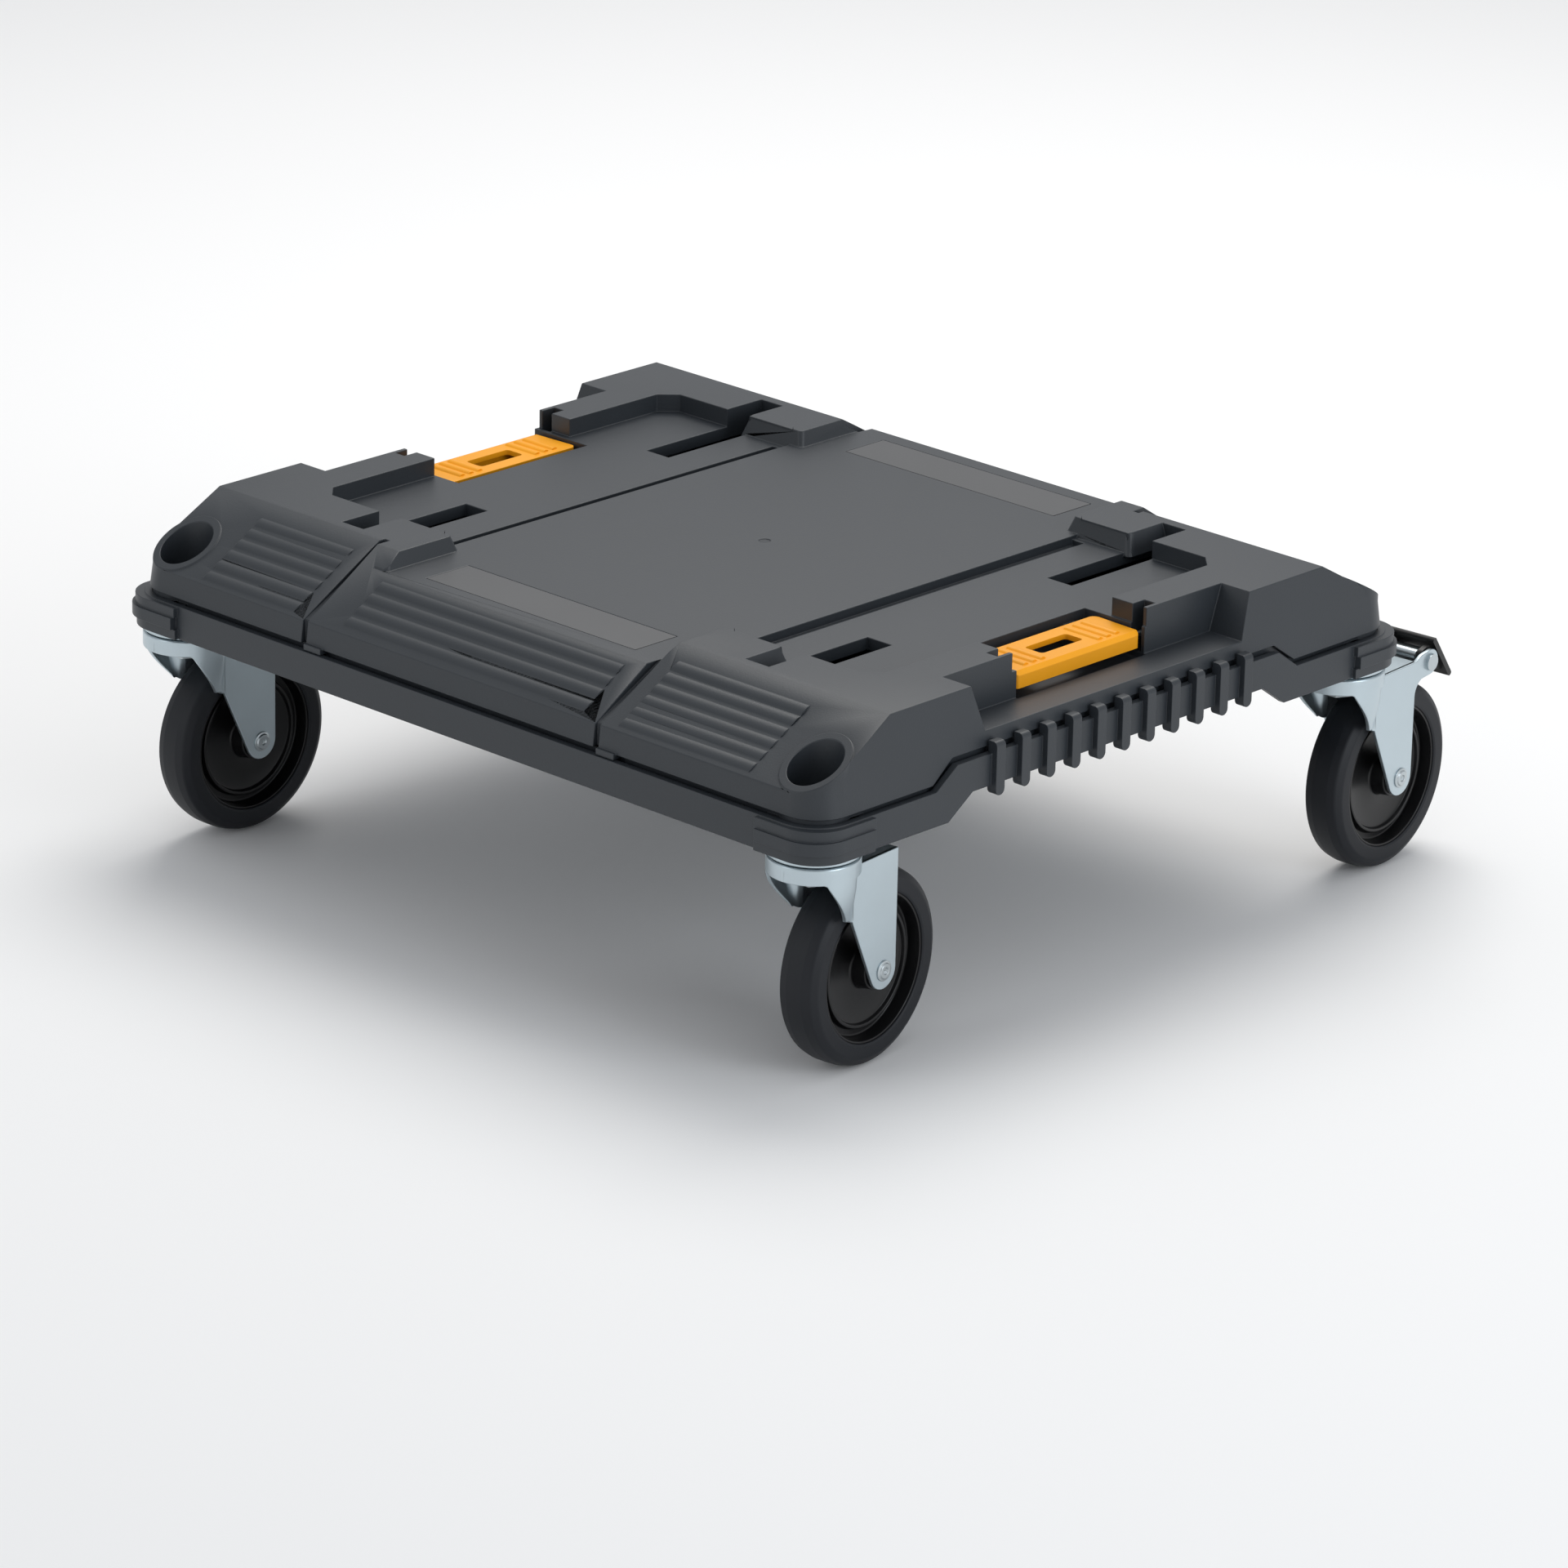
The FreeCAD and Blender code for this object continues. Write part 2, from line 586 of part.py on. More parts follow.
def base_frame():
    top = size.seam_raised - size.seam_gap / 2
    radius = size.corner_radius + size.skirt_half_x - size.wall_half_x
    wall, past = size.skirt_wall, 240
    skirt = prism("skirt_block", "XY", centred(size.skirt_half_x, size.skirt_half_y, radius),
                  "skirt_bottom", str(top))
    cavity = centred(size.skirt_half_x - wall, size.skirt_half_y - wall, radius - wall)
    inside = prism("skirt_inside", "XY", cavity, "pan_level", str(top + 1))
    under = prism("skirt_under", "XY", cavity, "skirt_bottom - 1", "pan_level - pan_thick")
    tools = [inside, under]
    for side in SIDES:
        step = [(side * y, z) for y, z in seam_profile(-size.seam_gap / 2)]
        corner = [step[0], step[1], (step[1][0], top + 5), (side * past, top + 5),
                  (side * past, step[0][1])]
        tools.append(prism(f"skirt_step_{'front' if side < 0 else 'rear'}", "YZ", corner, "-260", "260"))
        low, high = size.skirt_bottom, size.skirt_raised
        foot, crown = size.arch_foot_half_y, size.arch_crown_half_y
        arch = [(-foot, low), (-crown, high), (crown, high), (foot, low), (foot, low - 5), (-foot, low - 5)]
        ends = span(side, "skirt_half_x - skirt_wall - 1", "skirt_half_x + 1")
        tools.append(prism(f"skirt_arch_{'left' if side < 0 else 'right'}", "YZ", arch, ends[0], ends[1]))
    adds = [cut("skirt", skirt, tools)]

    # set-back collar that closes the seam and carries the upper moulding
    back = size.collar_set_back
    outer = prism("collar_outer", "XY",
                  centred(size.wall_half_x - back, size.wall_half_y - back, size.corner_radius - back),
                  "pan_level - 1", str(size.seam_raised + size.seam_gap / 2))
    inner = prism("collar_inner", "XY", centred(size.wall_half_x - 11.5, size.wall_half_y - 11.5, 10.0),
                  "pan_level - 2", "deck_top")
    tools = [inner]
    for side in SIDES:
        step = [(side * y, z) for y, z in seam_profile(size.seam_gap / 2)]
        corner = [step[0], step[1], (step[1][0], size.deck_top), (side * past, size.deck_top),
                  (side * past, step[0][1])]
        tools.append(prism(f"collar_step_{'front' if side < 0 else 'rear'}", "YZ", corner, "-260", "260"))
    adds.append(cut("collar", outer, tools))

    # stiffening ribs under the pan
    for axis, lines, reach in (("x", 2, "pan_rib_reach_y"), ("y", 2, "pan_rib_reach_x")):
        for line in range(-lines, lines + 1):
            across = (f"{line} * pan_pitch - pan_rib_thick / 2", f"{line} * pan_pitch + pan_rib_thick / 2")
            along = (f"-{reach}", reach)
            x, y = (across, along) if axis == "x" else (along, across)
            adds.append(box(f"pan_rib_{axis}_{line + lines}", x, y,
                            ("pan_rib_low", "pan_level - pan_thick + 0.5")))
    # screw posts that reach up to the underside of the deck
    for index, (x, y) in enumerate(POSTS):
        adds.append(cylinder(f"post_{index}", "post_radius", "pan_level - 1", "groove_level - skin",
                             str(x), str(y)))
    # corner sockets, each with a floor that its castor bolts to, and corner bumpers in three steps
    for side in SIDES:
        for flank in SIDES:
            tag = f"{side}_{flank}".replace("-", "m")
            x, y = f"{flank} * castor_x", f"{side} * castor_y"
            adds.append(cylinder("socket_" + tag, "hole_rim", "seat_level", "seam_level + seam_gap / 2",
                                 x, y))
            adds.append(cylinder("seat_" + tag, "seat_radius", "seat_level", "seat_level + seat_thick",
                                 x, y))
            for tier, (low, high, proud) in enumerate(BUMPER_TIERS):
                half_x = size.skirt_half_x + proud
                half_y = size.skirt_half_y + proud
                reach = size.bumper_reach
                outline = [(half_x - reach, half_y - reach), (half_x, half_y - reach),
                           (half_x, half_y, size.bumper_radius), (half_x - reach, half_y)]
                placed = [(flank * u, side * v, *r) for u, v, *r in outline]
                adds.append(prism(f"bumper_{tag}_{tier}", "XY", placed, str(low), str(high)))
    # grip ribs, each with a rounded foot
    for flank in SIDES:
        hand = "left" if flank < 0 else "right"
        ends = span(flank, "wall_half_x - 0.2", "skirt_half_x + rib_proud")
        back, proud = size.wall_half_x - 0.2, size.skirt_half_x + size.rib_proud
        foot = size.rib_bottom + size.rib_width / 2
        face = [(back, foot), (proud, foot), (proud, size.rib_top, 2.6), (back, size.rib_top)]
        for rib in range(RIB_COUNT):
            middle = f"{rib - RIB_COUNT // 2} * rib_pitch"
            # the sketch plane faces -Y, so the two ends are given from the far side
            adds.append(prism(f"grip_{hand}_{rib}", "XZ", [(flank * u, *rest) for u, *rest in face],
                              f"-({middle}) - rib_width / 2", f"-({middle}) + rib_width / 2"))
            adds.append(rod_along_x(f"grip_foot_{hand}_{rib}", "rib_width / 2", ends[0], ends[1], middle,
                                    "rib_bottom + rib_width / 2"))
    solid = fuse("base_solid", adds)
    tools = []
    for side in SIDES:
        for flank in SIDES:
            tag = f"{side}_{flank}".replace("-", "m")
            x, y = f"{flank} * castor_x", f"{side} * castor_y"
            tools.append(cylinder("socket_bore_" + tag, "hole_radius", "seat_level + seat_thick",
                                  "deck_top", x, y))
            tools.append(cylinder("bolt_bore_" + tag, "bolt_radius + 0.2", "seat_level - 5", "deck_top",
                                  x, y))
    for index, (x, y) in enumerate(POSTS):
        tools.append(cylinder(f"screw_bore_{index}", "screw_radius", "pan_level - pan_thick - 5",
                              "groove_level - skin - 2", str(x), str(y)))
        tools.append(cylinder(f"screw_sink_{index}", "screw_head_radius + 0.3", "pan_level - pan_thick - 5",
                              "pan_level - pan_thick + screw_head_high", str(x), str(y)))
    return cut("base_frame_solid", solid, tools)


def shell_screws():
    """One screw up through each post; identical, so they share a node."""
    screws = []
    base = "pan_level - pan_thick + screw_head_high"
    for index, (x, y) in enumerate(POSTS):
        place = (str(x), str(y))
        head = cylinder(f"screw_head_{index}", "screw_head_radius", f"{base} - screw_head_high + 0.5",
                        base, *place)
        shank = cylinder(f"screw_shank_{index}", "screw_radius", base, "groove_level - skin - 3", *place)
        recess = hexagon(f"screw_recess_{index}", "3", f"{base} - screw_head_high", f"{base} - 1.2", *place)
        screws.append(cut(f"screw_{index}", fuse(f"screw_body_{index}", [head, shank]), [recess]))
    return group("shell_screw_set", screws)


def group(name, solids):
    """Identical separate solids kept together as one sub-part."""
    bundle = doc.addObject("Part::Compound", name)
    bundle.Links = solids
    return bundle


# ---------------------------------------------------------------- latches
def latch(hand, flank):
    """Flip latch: a flat plate with a finger window, ridges beside it and a pin along its outer end."""
    near, far, half = size.latch_near_x, size.latch_far_x, size.latch_half_y
    low = size.latch_top - size.latch_thick
    shift = -flank * size.latch_shift
    start, end = shift - half, shift + half
    outline = [(flank * near, start, 4.0), (flank * far, start + 1.5, 2.0), (flank * far, end - 1.5, 2.0),
               (flank * near, end, 4.0)]
    edge = size.latch_edge
    plate = prism(f"latch_plate_{hand}", "XY", outline, str(low), "latch_top")
    corner = [(flank * (far - edge), size.latch_top), (flank * (far + edge), size.latch_top - 2 * edge),
              (flank * (far + edge), size.latch_top + 1), (flank * (far - edge), size.latch_top + 1)]
    slant = prism(f"latch_slant_{hand}", "XZ", corner, "-60", "60")
    adds = [cut(f"latch_bevelled_{hand}", plate, [slant])]
    for side in SIDES:
        for step in range(3):
            y = f"{shift} + {side} * (latch_window_half_y + 6 + {step} * latch_ridge_pitch)"
            adds.append(rod_along_x(f"latch_ridge_{hand}_{side + 1}_{step}", "latch_ridge_radius",
                                    *span(flank, "latch_near_x + 4", "latch_far_x - 5"), y,
                                    "latch_top - latch_ridge_radius + latch_ridge_high"))
    solid = fuse(f"latch_solid_{hand}", adds)
    window = prism(f"latch_window_{hand}", "XY",
                   [(flank * u, shift + v, 2.0) for u, v in
                    rectangle_ends(size.latch_window_near_x, size.latch_window_far_x,
                                   size.latch_window_half_y)],
                   str(low - 1), "latch_top + 1")
    bore = rod_along_y(f"latch_bore_{hand}", "latch_pin_radius + running_gap", "-latch_half_y - 5",
                       "latch_half_y + 5", f"{flank} * latch_pin_x", "latch_top - latch_thick / 2")
    under = box(f"latch_under_{hand}", span(flank, "latch_near_x - 1", "latch_skirt_x"),
                (f"{start} + latch_skin", f"{end} - latch_skin"),
                ("latch_top - latch_thick - 1", "latch_top - latch_skin"))
    return cut(f"latch_cut_{hand}", solid, [window, bore, under])


# ---------------------------------------------------------------- castors
def race():
    """Pressed upper race: a flat top with a turned-down lip."""
    inner, outer, top, low = size.king_radius, size.race_lip, size.seat_level, size.race_low
    return [(inner, top), (outer, top, 2.5), (outer, low), (outer - 2, low), (outer - 2, top - 2.5, 1.2),
            (inner, top - 2.5)]


def king_pin():
    """Hollow rivet that holds the race and the fork together; the mounting bolt runs through it."""
    bore, body, foot = size.bolt_radius, size.king_radius, size.king_radius + 5
    shoulder = size.fork_top - size.sheet_thick - 0.5
    return [(bore, size.seat_level), (body, size.seat_level), (body, shoulder), (foot, shoulder),
            (foot, shoulder - 2.5, 1.0), (bore, shoulder - 2.5)]


def balls(name):
    ring = []
    for index in range(BALL_COUNT):
        angle = 2 * math.pi * index / BALL_COUNT
        ring.append(ball(f"{name}_{index}", "ball_radius", f"ball_circle * {math.cos(angle):.6f}",
                         f"ball_circle * {math.sin(angle):.6f}", "fork_top + ball_radius + 0.45"))
    return group(name, ring)


def fork(name, braked):
    """Pressed steel fork: a bowl, two tapered legs with a web over the wheel, and ears for a brake."""
    thick, top = size.sheet_thick, size.fork_top
    rim, low, hole = size.bowl_radius, size.bowl_low, size.king_radius + size.running_gap
    bowl = turned(name + "_bowl", [(hole, top), (rim, top, 2.0), (rim, low), (rim - thick, low),
                                   (rim - thick, top - thick, 1.0), (hole, top - thick)])
    tip = size.leg_tip_radius
    axle = size.trail
    back = axle + tip
    leg = [(size.leg_root_front, top), (size.leg_root_front, size.bowl_low), (9.0, size.bowl_low, 7.0),
           (12.5, 82.0, 30.0), (axle - tip - 1.5, size.wheel_radius - tip, tip * 0.93),
           (back, size.wheel_radius - tip, tip * 0.98)]
    if braked:
        ear = size.ear_radius
        leg += [(back, 99.0, 10.0), (size.pivot_y + ear, size.pivot_level - ear, ear * 0.98),
                (size.pivot_y + ear, size.pivot_level + ear - 1.5, ear * 0.7),
                (size.pivot_y - 12, top, 8.0)]
    else:
        leg += [(back, top, 1.0)]
    solids = [bowl]
    for side in SIDES:
        ends = span(side, "fork_half_width - sheet_thick", "fork_half_width")
        solids.append(prism(f"{name}_leg_{side + 1}", "YZ", leg, *ends))
    solids.append(box(name + "_web", ("-fork_half_width", "fork_half_width"),
                      ("king_radius + 6", f"{back}"),
                      ("fork_top - sheet_thick", "fork_top")))
    tools = [rod_along_x(name + "_axle_hole", "axle_radius", "-40", "40", "trail", "wheel_radius"),
             cylinder(name + "_throat", f"{hole}", "fork_top - 20", "fork_top + 5")]
    if braked:
        tools.append(rod_along_x(name + "_pivot_hole", "pivot_radius", "-40", "40", "pivot_y",
                                 "pivot_level"))
    return cut(name, fuse(name + "_solid", solids), tools)


def axle_bolt(name):
    shank = rod_along_x(name + "_shank", "axle_radius", "-fork_half_width - 8", "fork_half_width",
                        "trail", "wheel_radius")
    head = rod_along_x(name + "_head", "axle_head_radius", "fork_half_width", "fork_half_width + 1.6",
                       "trail", "wheel_radius")
    recess = rod_along_x(name + "_dimple", "2.0", "fork_half_width + 1.0", "fork_half_width + 2",
                         "trail", "wheel_radius")
    return cut(name, fuse(name + "_solid", [shank, head]), [recess])


def axle_nut(name):
    nut = doc.addObject("Part::Prism", name + "_hex")
    nut.Polygon = 6
    nut.Placement = FreeCAD.Placement(FreeCAD.Vector(), FreeCAD.Rotation(FreeCAD.Vector(0, 1, 0), 90))
    bind(nut, Circumradius="13 / sqrt(3)", Height="6", Placement__Base__x="-fork_half_width - 6",
         Placement__Base__y="trail", Placement__Base__z="wheel_radius")
    return cut(name, nut, [rod_along_x(name + "_bore", "axle_radius", "-40", "0", "trail", "wheel_radius")])


def bush(name):
    reach = "fork_half_width - sheet_thick"
    tube = rod_along_x(name + "_tube", "bush_radius", f"-({reach})", reach, "trail", "wheel_radius")
    return cut(name, tube, [rod_along_x(name + "_bore", "axle_radius", "-40", "40", "trail",
                                        "wheel_radius")])


def hub_profile():
    bore, boss, rim = size.bush_radius + size.running_gap, size.hub_boss_radius, size.tyre_inner
    wide, web = size.wheel_half_width - 1.0, 3.0
    boss_half = size.hub_half_width
    half = [(bore, boss_half), (boss, boss_half, 0.8), (boss + 1.5, web, 1.5), (rim - 9, web, 1.5),
            (rim - 8, wide - 4, 1.0), (rim - 4, wide - 4, 1.0), (rim - 3, wide, 0.8), (rim, wide)]
    return half + [(u, -v, *r) for u, v, *r in reversed(half)]


def tyre_profile():
    inner, outer, wide = size.tyre_inner, size.wheel_radius, size.wheel_half_width
    half = [(inner, wide - 1), (inner + 1.2, wide, 0.5), (outer - 2.5, wide, 3.6), (outer, wide - 4.5, 3.0)]
    return half + [(u, -v, *r) for u, v, *r in reversed(half)]


def pedal(name):
    """Brake pedal: a tilted foot plate on two cheeks that turn on the pivot."""
    pivot_y, pivot_z, thick = size.pivot_y, size.pivot_level, size.pedal_thick
    high = (pivot_y + 1.5, size.pedal_top)
    low = (pivot_y + 18.5, pivot_z - 13.0)
    run = FreeCAD.Vector(low[0] - high[0], low[1] - high[1], 0)
    run.normalize()
    out = FreeCAD.Vector(-run.y, run.x, 0) * thick
    plate = prism(name + "_plate", "YZ", [(high[0], high[1], 1.2), (low[0], low[1], 1.2),
                                          (low[0] + out.x, low[1] + out.y, 1.2),
                                          (high[0] + out.x, high[1] + out.y, 1.2)],
                  "-pedal_half_width", "pedal_half_width")
    cheek = [(pivot_y - 5.5, pivot_z - 5.0, 4.0), (pivot_y - 5.5, pivot_z + 6.0, 4.0),
             (high[0] + 0.5, high[1] - 3.0), (low[0] - 1.0, low[1] + 4.0),
             (pivot_y + 4, pivot_z - 6.0, 4.0)]
    solids = [plate]
    for side in SIDES:
        solids.append(prism(f"{name}_cheek_{side + 1}", "YZ", cheek, *span(side, "10.6", "13.4")))
    bore = rod_along_x(name + "_bore", "pivot_radius + running_gap", "-40", "40", "pivot_y", "pivot_level")
    return cut(name, fuse(name + "_solid", solids), [bore])


def shoe(name):
    """Steel brake cam between the cheeks; it swings down on to the tread when the pedal is pressed."""
    pivot_y, pivot_z = size.pivot_y, size.pivot_level
    outline = [(pivot_y - 6.0, pivot_z + 5.5, 4.0), (pivot_y + 6.0, pivot_z + 5.5, 4.0),
               (pivot_y + 6.5, pivot_z - 11.8, 2.4), (pivot_y - 1.5, pivot_z - 10.8, 2.4)]
    block = prism(name + "_block", "YZ", outline, "-9", "9")
    return cut(name, block, [rod_along_x(name + "_bore", "pivot_radius + running_gap", "-40", "40",
                                         "pivot_y", "pivot_level")])


def brake_pivot(name):
    shank = rod_along_x(name + "_shank", "pivot_radius", "-fork_half_width", "fork_half_width",
                        "pivot_y", "pivot_level")
    heads = [rod_along_x(f"{name}_head_{side + 1}", "pivot_radius + 1.6",
                         *span(side, "fork_half_width", "fork_half_width + 1.6"), "pivot_y", "pivot_level")
             for side in SIDES]
    return fuse(name, [shank] + heads)


def castor(corner, flank, side, yaw, braked):
    x, y = f"{flank} * castor_x", f"{side} * castor_y + frame_shift"
    place = {"x": x, "y": y, "yaw": yaw}
    finish(f"upper_race_{corner}", turned(f"race_{corner}", race()), **place)
    finish(f"king_pin_{corner}", turned(f"king_{corner}", king_pin()), **place)
    finish(f"swivel_balls_{corner}", balls(f"balls_{corner}"), **place)
    finish(f"fork_{corner}", fork(f"fork_shape_{corner}", braked), **place)
    finish(f"axle_bolt_{corner}", axle_bolt(f"axle_{corner}"), **place)
    finish(f"axle_nut_{corner}", axle_nut(f"nut_{corner}"), **place)
    finish(f"axle_bush_{corner}", bush(f"bush_{corner}"), **place)
    # the wheel is turned about Z and then laid on its side at the end of the trail
    angle = math.radians(yaw)
    wheel = {"x": f"{x} - trail * {math.sin(angle):.6f}", "y": f"{y} + trail * {math.cos(angle):.6f}",
             "yaw": yaw,
             "turn": FreeCAD.Rotation(FreeCAD.Vector(0, 1, 0), 90)}
    for node, profile in ((f"hub_{corner}", hub_profile()), (f"tyre_{corner}", tyre_profile())):
        bind(finish(node, turned(node + "_shape", profile), **wheel), Placement__Base__z="wheel_radius")
    if braked:
        finish(f"brake_pivot_{corner}", brake_pivot(f"pivot_{corner}"), **place)
        finish(f"brake_pedal_{corner}", pedal(f"pedal_{corner}"), **place)
        finish(f"brake_shoe_{corner}", shoe(f"shoe_{corner}"), **place)


def mounting_hardware():
    """The bolt, washer and nut that hold each castor in its socket; one node for each kind."""
    bolts, washers, nuts = [], [], []
    floor = "seat_level + seat_thick"
    foot = "fork_top - sheet_thick - 3"
    for index, (flank, side, _, _) in enumerate(CASTORS.values()):
        x, y = f"{flank} * castor_x", f"{side} * castor_y"
        seat = f"{floor} + washer_thick"
        head = hexagon(f"bolt_head_{index}", "bolt_head_flats", seat, f"{seat} + bolt_head_high", x, y)
        shank = cylinder(f"bolt_shank_{index}", "bolt_radius", f"{foot} - 10", seat, x, y)
        bolts.append(fuse(f"bolt_{index}", [head, shank]))
        ring = cylinder(f"washer_disc_{index}", "washer_radius", floor, seat, x, y)
        hole = cylinder(f"washer_hole_{index}", "bolt_radius", floor, seat, x, y)
        washers.append(cut(f"washer_{index}", ring, [hole]))
        nut = hexagon(f"nut_hex_{index}", "bolt_head_flats", f"{foot} - 8", foot, x, y)
        bore = cylinder(f"nut_hole_{index}", "bolt_radius", f"{foot} - 12", f"{foot} + 4", x, y)
        nuts.append(cut(f"castor_nut_{index}", nut, [bore]))
    finish("castor_bolts", group("castor_bolt_set", bolts))
    finish("castor_washers", group("castor_washer_set", washers))
    finish("castor_nuts", group("castor_nut_set", nuts))


# ---------------------------------------------------------------- the whole carrier
finish("deck_shell", deck_shell())
finish("base_frame", base_frame())
finish("shell_screws", shell_screws())
for end, side in (("front", -1), ("rear", 1)):
    plate = box(f"{end}_badge_plate", ("-badge_half_x + 0.3", "badge_half_x - 0.3"),
                span(side, "badge_near_y + 0.3", "badge_far_y - 0.3"),
                ("centre_level - badge_thick", "centre_level"))
    finish(f"{end}_badge", group(f"{end}_badge_set", [plate]))
for hand, flank in (("left", -1), ("right", 1)):
    finish(f"latch_{hand}", latch(hand, flank))
    rod = rod_along_y(f"latch_rod_{hand}", "latch_pin_radius", "-(bar_far_y + 15)", "bar_far_y + 15",
                      f"{flank} * latch_pin_x", "latch_top - latch_thick / 2")
    finish(f"latch_pin_{hand}", group(f"latch_pin_set_{hand}", [rod]))
mounting_hardware()
for corner, (flank, side, yaw, braked) in CASTORS.items():
    castor(corner, flank, side, yaw, braked)

doc.recompute()
faults = [item.Name for item in doc.Objects if {"Invalid", "Error"} & set(item.State)]
faults += [node for node, feature in parts.items() if feature.Shape.isNull() or not feature.Shape.isValid()]
if faults:
    raise SystemExit(f"failed: {faults}")
os.makedirs("parts", exist_ok=True)
for node, feature in parts.items():
    feature.Shape.exportStep(f"parts/{node}.step")
    print(f"{node:28s} {len(feature.Shape.Solids):3d} solids {feature.Shape.Volume / 1000:9.2f} cm3")
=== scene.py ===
"""Four-castor carrier dolly for stackable tool boxes: the looks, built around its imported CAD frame."""
import json
import math

import bmesh
import bpy
from mathutils import Matrix, Vector


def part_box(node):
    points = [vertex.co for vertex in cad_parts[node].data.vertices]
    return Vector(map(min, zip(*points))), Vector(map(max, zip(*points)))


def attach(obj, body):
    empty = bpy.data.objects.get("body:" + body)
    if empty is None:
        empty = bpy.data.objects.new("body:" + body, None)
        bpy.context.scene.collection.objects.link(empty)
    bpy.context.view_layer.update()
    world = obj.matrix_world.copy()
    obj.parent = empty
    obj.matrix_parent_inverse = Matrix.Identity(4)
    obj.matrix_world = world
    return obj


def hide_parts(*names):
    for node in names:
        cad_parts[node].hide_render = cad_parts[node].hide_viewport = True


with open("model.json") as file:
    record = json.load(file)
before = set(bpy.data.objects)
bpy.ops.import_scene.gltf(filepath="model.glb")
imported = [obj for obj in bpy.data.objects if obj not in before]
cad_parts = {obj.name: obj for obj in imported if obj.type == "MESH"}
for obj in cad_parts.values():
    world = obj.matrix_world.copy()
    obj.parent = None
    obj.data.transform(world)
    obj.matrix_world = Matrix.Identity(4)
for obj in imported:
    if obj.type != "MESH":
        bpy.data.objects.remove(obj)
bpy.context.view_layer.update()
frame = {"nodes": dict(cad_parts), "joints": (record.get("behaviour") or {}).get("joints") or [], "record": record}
NODES = frame["nodes"]
JOINTS = {joint["name"]: joint for joint in frame["joints"]}
MM = 0.001
CORNERS = ("front_left", "front_right", "rear_left", "rear_right")

# widths of the rounded edges, in metres
DECK_EDGE, FRAME_EDGE, TRIM_EDGE = 0.0005, 0.0003, 0.00025
SHEET_EDGE, HEX_EDGE = 0.0005, 0.0006
MERGE_GAP = 0.00015
FLAT_ANGLE, CAD_ANGLE, SHEET_ANGLE, HEX_ANGLE = 0.6, 38, 50, 40

# pressed fork, in millimetres from its swivel axis and the floor
LEG_X, SHEET, CUP_RADIUS = 16.4, 2.2, 23.4
BAND_TOP, BAND_FOOT = 119.2, 110.5
FOLD_Y, FOLD_FOOT, TIP_RADIUS = 11.0, 84.0, 9.8

# ------------------------------------------------------------------ camera and studio
YAW, PITCH, ROLL = math.radians(43.35), math.radians(20.40), math.radians(1.24)
CAMERA_AT = Vector((2.4753, -2.6346, 1.3790))
LENS, SENSOR = 167.74, 36.0


def add_camera():
    """The camera of the photograph, from its place and three turns."""
    back = Vector((math.sin(YAW) * math.cos(PITCH), -math.cos(YAW) * math.cos(PITCH), math.sin(PITCH)))
    right = (-back).cross(Vector((0, 0, 1))).normalized()
    up = right.cross(-back)
    turn = Matrix.Rotation(ROLL, 3, back)
    axes = Matrix((turn @ right, turn @ up, back)).transposed()
    data = bpy.data.cameras.new("camera")
    data.lens, data.sensor_width = LENS, SENSOR
    data.clip_end = 50.0
    camera = bpy.data.objects.new("camera", data)
    camera.matrix_world = Matrix.Translation(CAMERA_AT) @ axes.to_4x4()
    bpy.context.scene.collection.objects.link(camera)
    bpy.context.scene.camera = camera


def add_light(name, place, aim, side, watts, colour=(1, 1, 1)):
    """Square softbox at a place, turned towards a point."""
    data = bpy.data.lights.new(name, "AREA")
    data.shape, data.size, data.energy, data.color = "SQUARE", side, watts, colour
    lamp = bpy.data.objects.new(name, data)
    lamp.location = place
    lamp.rotation_euler = (Vector(aim) - Vector(place)).to_track_quat("-Z", "Y").to_euler()
    bpy.context.scene.collection.objects.link(lamp)


def add_studio():
    """Pale surroundings, three softboxes and a paper floor."""
    world = bpy.data.worlds.new("studio")
    world.use_nodes = True
    sky = world.node_tree.nodes["Background"]
    sky.inputs["Color"].default_value = (0.95, 0.97, 1.0, 1)
    sky.inputs["Strength"].default_value = 0.6
    bpy.context.scene.world = world
    add_light("top_softbox", (-0.5, 0.9, 2.0), (0, 0, 0.1), 1.6, 30, (1.0, 0.98, 0.95))
    add_light("side_softbox", (2.4, 0.2, 0.9), (0, 0, 0.12), 1.2, 16, (0.90, 0.95, 1.0))
    add_light("front_softbox", (-0.9, -2.6, 1.1), (0, 0, 0.12), 1.0, 5, (0.95, 0.98, 1.0))
    mesh = bpy.data.meshes.new("floor")
    far = 6.0
    mesh.from_pydata([(-far, -far, 0), (far, -far, 0), (far, far, 0), (-far, far, 0)], [], [(0, 1, 2, 3)])
    floor = bpy.data.objects.new("floor", mesh)
    bpy.context.scene.collection.objects.link(floor)
    mesh.materials.append(finish_of("floor_paper", (0.88, 0.88, 0.88), 0.9))


# ------------------------------------------------------------------ materials
MOTTLE_SCALE, MOTTLE_TINT, GRAIN_DEPTH = 22.0, 0.1, 0.0001


